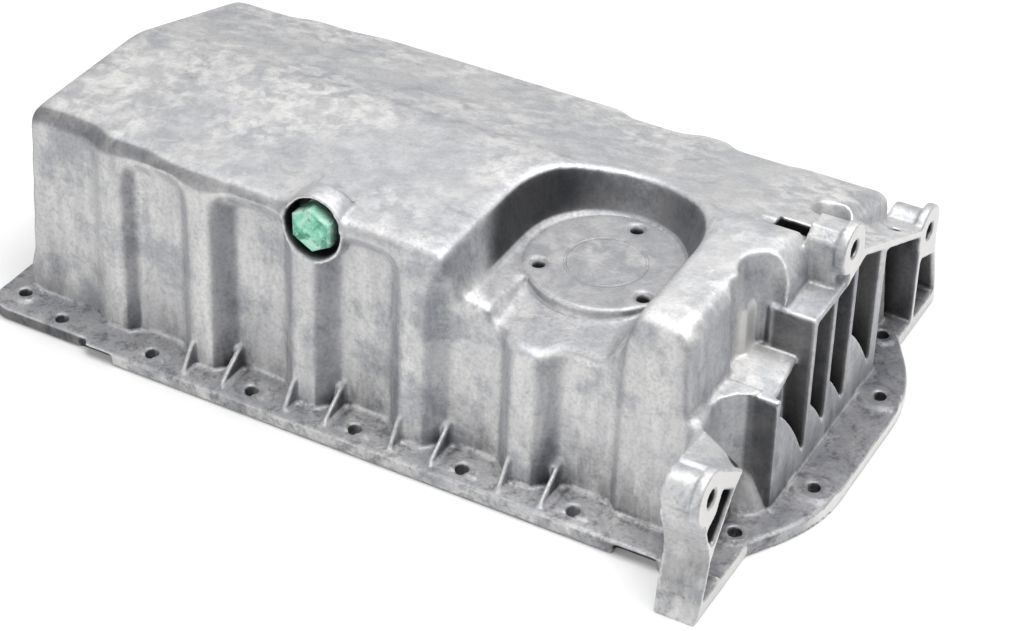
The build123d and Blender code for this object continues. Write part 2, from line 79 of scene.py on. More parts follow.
# Places on the casting. Each is a product of smooth steps, written as a value's name and where the step is 0
# and 1, in metres for lengths, and of values or places named before it.
# Most of these places mark where shade is painted into the colour; the table of darker shares below says which.
PLACES = {
    "upright": (("level", 0.5, 0.2),),
    "outward": (("across", 0.8, 0.985),),
    "flange": (("z", 0.0118, 0.0105), ("up", 0.7, 0.9)),
    "gearbox_flange_shade": ("flange", ("x", 0.150, 0.185)),
    "flank_shade": (("right", 0.12, 0.5), "upright", ("x", 0.170, 0.165), ("y", -0.085, -0.088), "flank_fade"),
    "band": (
        ("up", 0.10, 0.34), ("up", 0.97, 0.86), ("z", 0.0985, 0.104), ("back", -0.2, -0.4), ("y", -0.06, -0.08),
        "band_fade"),
    # Darker in noisy patches towards the bottom of the upright walls
    "low_wall_patches": (("z", 0.062, 0.014), "upright", "gathering"),
    "crease": (("from_crease", 0.0045, 0.0), ("z", 0.100, 0.108), ("x", 0.075, 0.055), ("up", 0.7, 0.9)),
    "pry_slot_shade": (("z", 0.0072, 0.0062), ("y", -0.1205, -0.1195), ("y", -0.1125, -0.1135)),
    "pocket_wall_shade": (
        ("from_pad", 0.0375, 0.0395), ("from_pad", 0.060, 0.050), ("level", 0.8, 0.5), ("z", 0.0925, 0.0950)),
    "left_pocket_wall_shade": ("pocket_wall_shade", ("right", 0.3, 0.8)),
    "pocket_floor_shade": (("from_pad", 0.068, 0.060), ("up", 0.6, 0.85), ("z", 0.0965, 0.0945), ("z", 0.080, 0.082)),
    "pad": (("from_pad", 0.0392, 0.0386), ("up", 0.9, 0.98), ("z", 0.0945, 0.0935)),
    "drain": (("from_plug", 0.0160, 0.0154), ("y", -0.105, -0.0955), ("y", -0.078, -0.084)),
    "web_shade": (
        ("x", 0.1765, 0.179), ("across", 0.6, 0.85), ("z", 0.0935, 0.0925), ("y", -0.0668, -0.0655),
        ("y", 0.128, 0.120)),
    "shelf": (
        ("up", 0.8, 0.95), ("x", 0.174, 0.177), ("y", 0.002, -0.001), ("z", 0.0965, 0.0950), ("z", 0.090, 0.092)),
    # The face beside the gearbox web walls, which gets painted light
    "column": (
        ("x", 0.1655, 0.168), ("x", 0.188, 0.186), ("y", -0.045, -0.042), ("y", -0.0275, -0.0283),
        ("z", 0.0705, 0.0725), ("z", 0.0975, 0.0955)),
    "bore_shade": (("from_bore", 0.0052, 0.0044), ("x", 0.165, 0.167), ("x", 0.1996, 0.1985)),
    "bolt_slot_shade": (("across_slot", 0.0066, 0.0061), ("along_slot", 0.0090, 0.0084), ("z", 0.1165, 0.1150)),
    "inside_arm": (("x", 0.1992, 0.1975), ("x", 0.1825, 0.1835), ("z", 0.0088, 0.0105)),
    "near_arm_shade": ("inside_arm", ("y", -0.098, -0.101), ("past_sheet", -0.0002, 0.0006), ("z", 0.0665, 0.065)),
    "far_arm_shade": ("inside_arm", ("y", 0.1095, 0.1105), ("y", 0.1385, 0.1375), ("z", 0.0475, 0.046)),
    # The machined ear faces, lightened partly as a painted reflection
    "lit_ear_faces": (("x", 0.1993, 0.1997), ("right", 0.9, 0.98)),
}

# The share of its colour that each darker place keeps. Most are painted shade: the crease along the top, the sides
# of the flutes, the strip under the near rim, the pad pocket's walls and floor, the faces between the gearbox web
# walls, the drain pocket, the pry openings under the flange, the ear bore holes, the hollows of both arms, the bolt
# opening behind the middle ear and the flange at the gearbox end. The flange, the patches low on the walls and the
# shelf are simply darker.
DARKER_SHARES = {
    "crease": 0.88, "flange": 0.82, "flank_shade": 0.55, "pocket_wall_shade": 0.42, "left_pocket_wall_shade": 0.3, "web_shade": 0.33,
    "drain": 0.06, "band": 0.5, "low_wall_patches": 0.5, "pocket_floor_shade": 0.62, "pry_slot_shade": 0.3, "bore_shade": 0.12, "near_arm_shade": 0.06,
    "far_arm_shade": 0.35, "bolt_slot_shade": 0.05, "gearbox_flange_shade": 0.6, "shelf": 0.84,
}

# Tints that stains multiply over the casting
RUN_TINT = (0.5, 0.52, 0.56)
BLOT_TINT = (0.47, 0.50, 0.56)
SPOT_TINT = (0.38, 0.38, 0.39)

# The photograph's viewpoint: place, direction backwards from the view, and roll in degrees
CAMERA_AT = (0.5357, -0.9261, 0.8024)
CAMERA_BACK = (0.3873, -0.7024, 0.5972)
CAMERA_ROLL = 0.77
SENSOR_WIDTH = 36.0

FLOOR_HALF = 6.0
FLOOR_GAP = 0.0002
WELD_DISTANCE = 0.000002

# Sockets of a Mix node on colours
MIX_FACTOR, MIX_FIRST, MIX_SECOND, MIX_RESULT = 0, 6, 7, 2


class PanCasting(bpy.types.PropertyGroup):
    """Shape and finish of the cast skin."""

    grain: bpy.props.FloatProperty(
        name="Skin grain", description="Edge length of the even mesh that the skin is smoothed on",
        default=0.00105, unit="LENGTH")
    wall_rounds: bpy.props.IntProperty(
        name="Wall smoothing", description="Smoothing rounds of the trough's soft cast walls", default=46)
    triangles: bpy.props.IntProperty(
        name="Triangles", description="Triangles left after the even mesh is thinned", default=190000)
    # Warm-white patches of the bare casting; the same tone is also painted light on walls facing the long sides, on
    # the face beside the gearbox web walls and on the ear faces
    warm_and_lit_tone: bpy.props.FloatVectorProperty(
        name="Light tone", description="Bright warm-white patches of the bare casting",
        default=(0.76, 0.75, 0.735), subtype="COLOR")
    mid_tone: bpy.props.FloatVectorProperty(
        name="Middle tone", description="Ordinary grey of the casting", default=(0.57, 0.57, 0.575), subtype="COLOR")
    # Cooler grey of random stains, and also the painted shade on slanting walls
    cool_stain_and_shade_tone: bpy.props.FloatVectorProperty(
        name="Bluish tone", description="Cooler stains", default=(0.46, 0.47, 0.495), subtype="COLOR")
    dark_tone: bpy.props.FloatVectorProperty(
        name="Dark tone", description="Dark smudges", default=(0.07, 0.07, 0.075), subtype="COLOR")
    # Painted shade in the deepest recesses
    recess_shade_tone: bpy.props.FloatVectorProperty(
        name="Deep tone", description="Deepest recesses", default=(0.02, 0.02, 0.022), subtype="COLOR")
    # Edges rubbed bright, on the casting partly a painted edge highlight
    wear_and_highlight_tone: bpy.props.FloatVectorProperty(
        name="Worn tone", description="Edges that are rubbed bright", default=(0.93, 0.93, 0.92), subtype="COLOR")
    recess_start: bpy.props.FloatProperty(
        name="Recess from", description="Closedness at which a recess starts to darken", default=0.42)
    recess_full: bpy.props.FloatProperty(
        name="Recess to", description="Closedness at which a recess is darkest", default=0.85)
    metal: bpy.props.FloatProperty(
        name="Metal", description="How much the dull cast skin reflects as metal", default=0.45)


class PanPlug(bpy.types.PropertyGroup):
    """Drain plug sizes and colours."""

    core_radius: bpy.props.FloatProperty(
        name="Thread root radius", description="Radius of the shank between the thread's turns",
        default=0.0061, unit="LENGTH")
    crest_radius: bpy.props.FloatProperty(
        name="Thread crest radius", description="Outer radius of the thread", default=0.007, unit="LENGTH")
    pitch: bpy.props.FloatProperty(
        name="Thread pitch", description="Travel for one turn", default=0.0015, unit="LENGTH")
    turns: bpy.props.FloatProperty(
        name="Thread turns", description="Turns of thread on the shank", default=9.6)
    thread_end: bpy.props.FloatProperty(
        name="Thread end", description="How far inwards from the seal ring the thread ends",
        default=0.0155, unit="LENGTH")
    corner: bpy.props.FloatProperty(
        name="Corner", description="Width of the rounded corners of the head", default=0.0006, unit="LENGTH")
    coating: bpy.props.FloatVectorProperty(
        name="Coating", description="Mint green of the plug", default=(0.06, 0.46, 0.29), subtype="COLOR")
    # Paler green: a painted highlight laid in clouds over the plug
    highlight_coating: bpy.props.FloatVectorProperty(
        name="Pale coating", description="Rubbed, chalky green", default=(0.42, 0.85, 0.66), subtype="COLOR")
    dark_coating: bpy.props.FloatVectorProperty(
        name="Dull coating", description="Dark patches of the green", default=(0.02, 0.17, 0.11), subtype="COLOR")
    scuffed_coating: bpy.props.FloatVectorProperty(
        name="Scuffed coating", description="Fine pale scuffs", default=(0.60, 0.86, 0.73), subtype="COLOR")
    worn_coating: bpy.props.FloatVectorProperty(
        name="Worn coating", description="Corners rubbed almost bare", default=(0.74, 0.90, 0.82), subtype="COLOR")


class PanStage(bpy.types.PropertyGroup):
    """Floor, lamps and camera."""

    floor_tone: bpy.props.FloatVectorProperty(
        name="Floor", description="Plain pale floor", default=(0.86, 0.86, 0.86), subtype="COLOR")
    key_power: bpy.props.FloatProperty(
        name="Key lamp", description="Power of the large soft lamp overhead", default=27.0, unit="POWER")
    side_power: bpy.props.FloatProperty(
        name="Side lamp", description="Power of the soft lamp at the side", default=7.0, unit="POWER")
    lens: bpy.props.FloatProperty(
        name="Lens", description="Focal length on a 36 mm sensor", default=91.08, unit="CAMERA")


def math_node(tree, operation, first, second=None, third=None, clamp=False):
    """A Math node on sockets or numbers; returns its output."""
    made = tree.nodes.new("ShaderNodeMath")
    made.operation = operation
    made.use_clamp = clamp
    for slot, value in enumerate((first, second, third)):
        if value is None:
            continue
        if isinstance(value, (int, float)):
            made.inputs[slot].default_value = value
        else:
            tree.links.new(value, made.inputs[slot])
    return made.outputs[0]


def product(tree, *masks):
    """The product of several masks or numbers."""
    value = masks[0]
    for mask in masks[1:]:
        value = math_node(tree, "MULTIPLY", value, mask)
    return value


def step(tree, value, low, high):
    """A smooth 0 to 1 mask as value goes from low to high."""
    made = tree.nodes.new("ShaderNodeMapRange")
    made.interpolation_type = "SMOOTHSTEP"
    made.inputs["From Min"].default_value = low
    made.inputs["From Max"].default_value = high
    tree.links.new(value, made.inputs["Value"])
    return made.outputs[0]


def mix_colour(tree, factor, first, second, blend="MIX"):
    """A Mix node on colours; each input is a socket or a colour. Returns its output."""
    made = tree.nodes.new("ShaderNodeMix")
    made.data_type = "RGBA"
    made.blend_type = blend
    for slot, value in ((MIX_FACTOR, factor), (MIX_FIRST, first), (MIX_SECOND, second)):
        if isinstance(value, bpy.types.NodeSocket):
            tree.links.new(value, made.inputs[slot])
        elif slot == MIX_FACTOR:
            made.inputs[slot].default_value = value
        else:
            made.inputs[slot].default_value = (*value[:3], 1)
    return made.outputs[MIX_RESULT]


def noise(tree, place, scale, detail=4.0, roughness=0.55, distortion=0.0):
    """A noise value on the given coordinates."""
    made = tree.nodes.new("ShaderNodeTexNoise")
    made.inputs["Scale"].default_value = scale
    made.inputs["Detail"].default_value = detail
    made.inputs["Roughness"].default_value = roughness
    made.inputs["Distortion"].default_value = distortion
    tree.links.new(place, made.inputs["Vector"])
    return made.outputs["Fac"]


def stretched(tree, place, scale):
    """Coordinates scaled apart along the three axes."""
    made = tree.nodes.new("ShaderNodeMapping")
    made.inputs["Scale"].default_value = scale
    tree.links.new(place, made.inputs["Vector"])
    return made.outputs[0]


def vector_node(tree, operation, first, second=None):
    """A Vector Math node on a socket and a fixed vector; returns the node."""
    made = tree.nodes.new("ShaderNodeVectorMath")
    made.operation = operation
    tree.links.new(first, made.inputs[0])
    if second is not None:
        made.inputs[1].default_value = second
    return made


def distance_to(tree, place, point, flat):
    """Distance from the line through a point along one axis, which flat names by its number."""
    away = vector_node(tree, "SUBTRACT", place, point).outputs[0]
    kept = vector_node(tree, "MULTIPLY", away, [0.0 if i == flat else 1.0 for i in range(3)]).outputs[0]
    return vector_node(tree, "LENGTH", kept).outputs["Value"]


def components(tree, vector):
    """The three components of a vector."""
    made = tree.nodes.new("ShaderNodeSeparateXYZ")
    tree.links.new(vector, made.inputs[0])
    return made.outputs


def attribute(tree, name):
    """A value kept on the mesh under a name."""
    made = tree.nodes.new("ShaderNodeAttribute")
    made.attribute_name = name
    return made.outputs["Fac"]


def bump(tree, height, distance, strength, below=None):
    """A Bump node; returns its normal."""
    made = tree.nodes.new("ShaderNodeBump")
    made.inputs["Distance"].default_value = distance
    made.inputs["Strength"].default_value = strength
    tree.links.new(height, made.inputs["Height"])
    if below is not None:
        tree.links.new(below, made.inputs["Normal"])
    return made.outputs[0]


def new_group(name, inputs, outputs):
    """An empty shader node group with (name, kind, default) inputs and (name, kind) outputs."""
    tree = bpy.data.node_groups.new(name, "ShaderNodeTree")
    for label, kind, default in inputs:
        made = tree.interface.new_socket(label, in_out="INPUT", socket_type=kind)
        if default is not None:
            made.default_value = default
    for label, kind in outputs:
        tree.interface.new_socket(label, in_out="OUTPUT", socket_type=kind)
    return tree, tree.nodes.new("NodeGroupInput"), tree.nodes.new("NodeGroupOutput")


def mottling_group():
    """Clouded stains: a soft wide mask, a streaked mask and a fine speckle."""
    tree, given, result = new_group(
        "mottling",
        [("Place", "NodeSocketVector", None), ("Size", "NodeSocketFloat", 1.0)],
        [("Clouds", "NodeSocketFloat"), ("Streaks", "NodeSocketFloat"), ("Specks", "NodeSocketFloat")],
    )
    scaled = vector_node(tree, "SCALE", given.outputs["Place"])
    tree.links.new(given.outputs["Size"], scaled.inputs["Scale"])
    place = scaled.outputs[0]
    clouds = noise(tree, place, scale=26.0, detail=6.0, roughness=0.62, distortion=0.6)
    lengthened = stretched(tree, place, (110.0, 110.0, 22.0))
    streaks = noise(tree, lengthened, scale=1.0, detail=5.0, roughness=0.6, distortion=0.4)
    specks = noise(tree, place, scale=520.0, detail=3.0, roughness=0.6)
    tree.links.new(step(tree, clouds, 0.34, 0.66), result.inputs["Clouds"])
    tree.links.new(step(tree, streaks, 0.36, 0.66), result.inputs["Streaks"])
    tree.links.new(step(tree, specks, 0.42, 0.68), result.inputs["Specks"])


def wear_and_highlight_group():
    """Edge wear and edge highlight: how much an edge is made bright, broken up so that it isn't one even line;
    rubbed wear on the plug, partly rubbed wear and partly a painted highlight on the casting.
    """
    tree, given, result = new_group(
        "edge_wear_and_highlight",
        [("Place", "NodeSocketVector", None), ("Edge", "NodeSocketFloat", 0.0), ("Amount", "NodeSocketFloat", 1.0)],
        [("Wear", "NodeSocketFloat")],
    )
    broken = step(tree, noise(tree, given.outputs["Place"], scale=210.0, detail=3.0), 0.22, 0.6)
    wear_and_highlight = product(tree, given.outputs["Edge"], broken)
    wear_and_highlight = math_node(tree, "MULTIPLY", wear_and_highlight, given.outputs["Amount"], clamp=True)
    tree.links.new(wear_and_highlight, result.inputs["Wear"])


def placed(tree, group, **values):
    """A node that uses the named shader group, with its inputs set."""
    made = tree.nodes.new("ShaderNodeGroup")
    made.node_tree = bpy.data.node_groups[group]
    for name, value in values.items():
        if isinstance(value, bpy.types.NodeSocket):
            tree.links.new(value, made.inputs[name])
        else:
            made.inputs[name].default_value = value
    return made.outputs


def new_material(name):
    """A material with an empty tree, its Principled shader and its object coordinates."""
    material = bpy.data.materials.new(name)
    material.use_nodes = True
    tree = material.node_tree
    tree.nodes.clear()
    shader = tree.nodes.new("ShaderNodeBsdfPrincipled")
    output = tree.nodes.new("ShaderNodeOutputMaterial")
    tree.links.new(shader.outputs[0], output.inputs[0])
    return material, tree, shader, tree.nodes.new("ShaderNodeTexCoord").outputs["Object"]


def casting_values(tree, place):
    """The named values that PLACES is written in: coordinates, facing, distances and fades."""
    x, y, z = components(tree, place)
    right, back, up = components(tree, tree.nodes.new("ShaderNodeNewGeometry").outputs["Normal"])

    def off(value, middle):
        return math_node(tree, "ABSOLUTE", math_node(tree, "SUBTRACT", value, middle))

    # The near arm's outer sheet leans out to its middle: the arm's inside lies past both halves of it
    low_half = math_node(tree, "MULTIPLY_ADD", z, 0.25, -0.1395)
    high_half = math_node(tree, "MULTIPLY_ADD", z, -0.27, -0.1244)
    sheet = math_node(tree, "MINIMUM", low_half, high_half)
    from_bore = None
    for bore_y, bore_z in EAR_BORES:
        away = distance_to(tree, place, (0.0, bore_y, bore_z), flat=0)
        from_bore = away if from_bore is None else math_node(tree, "MINIMUM", from_bore, away)
    gathering = stretched(tree, place, (38.0, 38.0, 15.0))
    gathering = noise(tree, gathering, scale=1.0, detail=6.0, roughness=0.65, distortion=0.8)
    return {
        "x": x, "y": y, "z": z, "right": right, "back": back, "up": up,
        "level": math_node(tree, "ABSOLUTE", up),
        "across": math_node(tree, "ABSOLUTE", back),
        "from_pad": distance_to(tree, place, PAD_CENTRE, flat=2),
        "from_plug": distance_to(tree, place, PLUG_AXIS, flat=1),
        "from_bore": from_bore,
        "from_crease": off(y, CREASE_Y),
        "along_slot": off(x, SLOT_CENTRE[0]),
        "across_slot": off(y, SLOT_CENTRE[1]),
        "past_sheet": math_node(tree, "SUBTRACT", y, sheet),
        "gathering": step(tree, gathering, 0.42, 0.66),
        # How the painted shade on the flute sides and on the strip under the near rim fades along the casting's
        # length
        "flank_fade": math_node(tree, "MULTIPLY_ADD", step(tree, x, 0.02, -0.05), 0.7, 0.3),
        "band_fade": math_node(tree, "MULTIPLY_ADD", step(tree, x, 0.03, -0.14), 0.75, 0.25),
    }


def casting_places(tree, place):
    """The casting's named values and, under its own name, a mask for each of PLACES."""
    named = casting_values(tree, place)
    for name, parts in PLACES.items():
        named[name] = product(tree, *[
            named[part] if isinstance(part, str) else step(tree, named[part[0]], *part[1:]) for part in parts])
    return named


def casting_colour(tree, settings, place, at, stains, recess_shade, wear_and_highlight):
    """The casting's colour, laid up from its even greys to its stains, painted light and shade, painted shade in
    recesses and edges rubbed bright partly as a painted highlight.
    """
    # Grey with cooler clouds and warm-white patches
    wide = placed(tree, "mottling", Place=place, Size=0.42)
    colour = mix_colour(tree, stains["Clouds"], settings.cool_stain_and_shade_tone, settings.mid_tone)
    warm = product(tree, wide["Clouds"], stains["Streaks"])
    colour = mix_colour(tree, warm, colour, settings.warm_and_lit_tone)
    # Painted light and shade: upright walls are lighter where they face the long sides, and cooler and darker where
    # they slant
    lit_walls = product(tree, at["upright"], at["outward"], 0.55)
    colour = mix_colour(tree, lit_walls, colour, settings.warm_and_lit_tone)
    shaded_slants = product(tree, at["upright"], math_node(tree, "SUBTRACT", 1.0, at["outward"]), 0.45)
    colour = mix_colour(tree, shaded_slants, colour, settings.cool_stain_and_shade_tone)
    # Dark smudges and specks
    smudges = noise(tree, place, scale=44.0, detail=7.0, roughness=0.7, distortion=1.2)
    smudges = product(tree, step(tree, smudges, 0.55, 0.74), 0.3)
    smudges = math_node(tree, "ADD", smudges, product(tree, stains["Specks"], 0.16))
    colour = mix_colour(tree, smudges, colour, settings.dark_tone)
    # Runs down the walls, blue-grey blots on what isn't level, and spots on the flange
    runs = noise(
        tree, stretched(tree, place, (80.0, 80.0, 16.0)), scale=1.0, detail=7.0, roughness=0.72, distortion=0.2)
    runs = product(tree, step(tree, runs, 0.62, 0.42), at["upright"], 0.28)
    colour = mix_colour(tree, runs, colour, RUN_TINT, "MULTIPLY")
    blots = noise(tree, place, scale=24.0, detail=9.0, roughness=0.70, distortion=0.15)
    blots = product(tree, step(tree, blots, 0.48, 0.62), step(tree, at["up"], 0.9, 0.4), 0.62)
    colour = mix_colour(tree, blots, colour, BLOT_TINT, "MULTIPLY")
    spots = noise(tree, place, scale=130.0, detail=6.0, roughness=0.72, distortion=0.1)
    spots = product(tree, step(tree, spots, 0.48, 0.66), step(tree, at["z"], 0.013, 0.0105), 0.7)
    colour = mix_colour(tree, spots, colour, SPOT_TINT, "MULTIPLY")
    # Darker places from the table of darker shares, most of them painted shade, then painted light on the face
    # beside the gearbox web walls, and painted shade in recesses
    for name, left in DARKER_SHARES.items():
        colour = mix_colour(tree, at[name], colour, (left, left, left * 1.02), "MULTIPLY")
    # Painted light on the face beside the gearbox web walls
    colour = mix_colour(tree, product(tree, at["column"], 0.8), colour, settings.warm_and_lit_tone)
    # Painted shade in recesses, from how closed in each point is
    colour = mix_colour(tree, product(tree, recess_shade, 0.95), colour, settings.recess_shade_tone)
    # Machined faces, with the ear faces lightened partly as a painted reflection, and edges rubbed bright, partly as
    # a painted highlight
    machined_and_reflection = math_node(tree, "MAXIMUM", product(tree, at["pad"], 0.1), at["lit_ear_faces"])
    colour = mix_colour(tree, machined_and_reflection, colour, settings.warm_and_lit_tone)
    # Edges rubbed bright, partly as a painted highlight
    return mix_colour(tree, wear_and_highlight, colour, settings.wear_and_highlight_tone)


def casting_relief(tree, place, at):
    """The casting's normal: waves and dents, a sand-like skin and the ring mark of the pad."""
    waves = bump(tree, noise(tree, place, scale=60.0, detail=3.0), distance=0.0012, strength=0.5)
    coarse = noise(tree, place, scale=420.0, detail=3.0, roughness=0.6)
    skin = math_node(tree, "ADD", coarse, noise(tree, place, scale=1500.0, detail=2.0))
    grain = bump(tree, skin, distance=0.00022, strength=0.55, below=waves)
    ring = math_node(tree, "ABSOLUTE", math_node(tree, "SUBTRACT", at["from_pad"], PAD_RING))
    mark = product(tree, step(tree, ring, 0.0008, 0.0004), at["pad"])
    return bump(tree, math_node(tree, "SUBTRACT", 1.0, mark), distance=0.0004, strength=0.8, below=grain)


def aluminium_material(settings):
    """Bare cast aluminium: mottled, streaked, with painted shade in its recesses and darker places, painted light on
    some faces, and edges rubbed bright partly as a painted highlight.
    """
    material, tree, shader, place = new_material("cast_finish")
    at = casting_places(tree, place)
    stains = placed(tree, "mottling", Place=place, Size=1.0)
    wear_and_highlight = placed(tree, "edge_wear_and_highlight", Place=place, Edge=attribute(tree, "edge"), Amount=0.95)["Wear"]
    # Painted shade in recesses, except on the face beside the gearbox web walls, which keeps its painted light
    # however closed in it is
    recess_shade = step(tree, attribute(tree, "recess"), settings.recess_start, settings.recess_full)
    recess_shade = product(tree, recess_shade, math_node(tree, "MULTIPLY_ADD", at["column"], -0.85, 1.0))
    colour = casting_colour(tree, settings, place, at, stains, recess_shade, wear_and_highlight)
    tree.links.new(colour, shader.inputs["Base Color"])
    shader.inputs["Metallic"].default_value = settings.metal
    rough = math_node(tree, "MULTIPLY_ADD", stains["Streaks"], 0.12, 0.4)
    for mask, more in ((stains["Specks"], 0.08), (recess_shade, 0.25), (wear_and_highlight, -0.1)):
        rough = math_node(tree, "MULTIPLY_ADD", mask, more, rough)
    tree.links.new(rough, shader.inputs["Roughness"])
    tree.links.new(casting_relief(tree, place, at), shader.inputs["Normal"])
    return material


def coating_material(settings):
    """Mint green coating of the plug, with a painted highlight of paler green in clouds, darker green patches, pale
    scuffs, and rubbed through to the metal on its corners.
    """
    material, tree, shader, place = new_material("green_coating")
    stains = placed(tree, "mottling", Place=place, Size=5.0)
    # Painted highlight: paler green in clouds over the mint green
    colour = mix_colour(tree, stains["Clouds"], settings.coating, settings.highlight_coating)
    # Darker green in patches
    dark_patches = step(tree, noise(tree, place, scale=120.0, detail=6.0, roughness=0.7, distortion=0.2), 0.50, 0.62)
    colour = mix_colour(tree, product(tree, dark_patches, 0.75), colour, settings.dark_coating)
    scuffs = step(tree, noise(tree, place, scale=260.0, detail=7.0, roughness=0.72, distortion=0.3), 0.52, 0.60)
    colour = mix_colour(tree, product(tree, scuffs, 0.75), colour, settings.scuffed_coating)
    wear_and_highlight = placed(tree, "edge_wear_and_highlight", Place=place, Edge=attribute(tree, "edge"), Amount=1.0)["Wear"]
    colour = mix_colour(tree, wear_and_highlight, colour, settings.worn_coating)
    tree.links.new(colour, shader.inputs["Base Color"])
    shader.inputs["Metallic"].default_value = 0.25
    rough = math_node(tree, "MULTIPLY_ADD", stains["Streaks"], 0.2, 0.34)
    tree.links.new(rough, shader.inputs["Roughness"])
    relief = math_node(tree, "ADD", noise(tree, place, scale=700.0, detail=4.0), stains["Specks"])
    tree.links.new(bump(tree, relief, distance=0.0003, strength=0.5), shader.inputs["Normal"])
    return material


def ring_material():
    """Plain soft metal of the seal ring."""
    material, tree, shader, place = new_material("ring_finish")
    stains = placed(tree, "mottling", Place=place, Size=4.0)
    colour = mix_colour(tree, stains["Clouds"], (0.36, 0.37, 0.38), (0.56, 0.56, 0.56))
    tree.links.new(colour, shader.inputs["Base Color"])
    shader.inputs["Metallic"].default_value = 0.9
    tree.links.new(math_node(tree, "MULTIPLY_ADD", stains["Streaks"], 0.15, 0.35), shader.inputs["Roughness"])
    skin = noise(tree, place, scale=900.0, detail=3.0)
    tree.links.new(bump(tree, skin, distance=0.0001, strength=0.5), shader.inputs["Normal"])
    return material


def points_of(mesh):
    """The mesh's vertices as an array."""
    flat = np.empty(len(mesh.vertices) * 3)
    mesh.vertices.foreach_get("co", flat)
    return flat.reshape(-1, 3)


def set_points(mesh, points):
    """Write an array of vertices back to the mesh."""
    mesh.vertices.foreach_set("co", points.astype(np.float32).ravel())
    mesh.update()


def normals_of(mesh):
    """The mesh's vertex normals as an array."""
    flat = np.empty(len(mesh.vertices) * 3, np.float32)
    mesh.vertex_normals.foreach_get("vector", flat)
    return flat.reshape(-1, 3).astype(float)


def neighbours_of(mesh):
    """The mesh's edges as two arrays of vertex numbers, and how many neighbours each vertex has."""
    flat = np.empty(len(mesh.edges) * 2, np.int64)
    mesh.edges.foreach_get("vertices", flat)
    pairs = flat.reshape(-1, 2)
    first, second = pairs[:, 0], pairs[:, 1]
    size = len(mesh.vertices)
    count = np.bincount(first, minlength=size) + np.bincount(second, minlength=size)
    return first, second, np.maximum(count, 1).astype(float)


def neighbour_mean(values, first, second, count):
    """The mean of each vertex's neighbours."""
    total = np.empty_like(values)
    for axis in range(values.shape[1]):
        column = np.bincount(first, values[second, axis], len(values))
        column += np.bincount(second, values[first, axis], len(values))
        total[:, axis] = column / count
    return total


def ramp(value, low, high):
    """A smooth 0 to 1 as value goes from low to high."""
    t = np.clip((value - low) / (high - low), 0, 1)
    return t * t * (3 - 2 * t)


def softness(points):
    """How far each point of the casting may be smoothed: the trough fully, fittings hardly."""
    x, y, z = points.T
    from_pad = np.hypot(x - PAD_CENTRE[0], y - PAD_CENTRE[1])
    from_plug = np.hypot(x - PLUG_AXIS.x, z - PLUG_AXIS.z)
    trough = ramp(z, 0.022, 0.034) * ramp(x, 0.181, 0.172)
    gussets = 0.07 * ramp(np.abs(y), 0.096, 0.104) * ramp(x, 0.165, 0.150)
    gearbox_end = ramp(x, 0.174, 0.180)
    scoops = ramp(x, 0.134, 0.146) * ramp(y, -0.088, -0.080) * ramp(y, 0.078, 0.070) * ramp(z, 0.060, 0.068)
    pocket = ramp(from_pad, 0.0425, 0.0400) * ramp(z, 0.104, 0.098)
    drain = ramp(from_plug, 0.0195, 0.0175) * ramp(y, -0.060, -0.070)
    slot = ramp(x, 0.146, 0.150) * ramp(x, 0.181, 0.178) * ramp(np.abs(y - SLOT_CENTRE[1]), 0.0105, 0.0085)
    slot = slot * ramp(z, 0.096, 0.100)
    sealing_face = ramp(z, 0.0012, 0.0004)
    soft = np.maximum(trough, 0.10 - gussets)
    for fitting, crispness in (
        (gearbox_end, 0.45), (scoops, 0.84), (pocket, 0.93), (drain, 0.93), (slot, 0.85), (sealing_face, 0.9),
    ):
        soft *= 1 - crispness * fitting
    return soft


def smoothed(mesh, rounds, pull=0.62):
    """Round the casting's edges as a casting's are, most on the trough, hardly on its fittings."""
    points = points_of(mesh)
    first, second, count = neighbours_of(mesh)
    share = (softness(points) * pull)[:, None]
    for _ in range(rounds):
        points += share * (neighbour_mean(points, first, second, count) - points)
    set_points(mesh, points)


def edge_values(mesh, start, reach, rounds=2):
    """How sharply each vertex stands out, from 0 on flat ground to 1 on a convex edge."""
    points, normals = points_of(mesh), normals_of(mesh)
    first, second, count = neighbours_of(mesh)
    run = points[second] - points[first]
    length = np.maximum(np.linalg.norm(run, axis=1), 1e-9)
    bend = np.bincount(first, -np.einsum("ij,ij->i", normals[first], run) / length, len(points))
    bend += np.bincount(second, np.einsum("ij,ij->i", normals[second], run) / length, len(points))
    bend = (bend / count)[:, None]
    for _ in range(rounds):
        bend = 0.5 * bend + 0.5 * neighbour_mean(bend, first, second, count)
    return np.clip((bend[:, 0] - start) / reach, 0, 1)


def recess_values(mesh, rays=26, far=0.06, lift=0.0006):
    """How closed in each vertex is, from 0 in the open to 1 deep in a recess."""
    points, normals = points_of(mesh), normals_of(mesh)
    tree = BVHTree.FromPolygons(
        [tuple(p) for p in points], [tuple(f.vertices) for f in mesh.polygons], all_triangles=False)
    golden = pi * (3 - 5 ** 0.5)
    closed = np.zeros(len(points))
    heights = (np.arange(rays) + 0.5) / rays
    around = np.arange(rays) * golden
    flat = np.sqrt(1 - heights ** 2)
    fan = np.stack([flat * np.cos(around), flat * np.sin(around), heights], axis=1)
    for i, (point, normal) in enumerate(zip(points, normals)):
        turn = Vector(normal).to_track_quat("Z", "Y").to_matrix()
        start = Vector(point) + Vector(normal) * lift
        for way in fan:
            _, _, face, reached = tree.ray_cast(start, turn @ Vector(way), far)
            if face is not None:
                closed[i] += way[2] * (1 - 0.5 * reached / far)
    return closed / fan[:, 2].sum()


def put_attribute(mesh, name, values):
    """Keep one value for each vertex under a name that a material reads."""
    made = mesh.attributes.new(name, "FLOAT", "POINT")
    made.data.foreach_set("value", values.astype(np.float32))


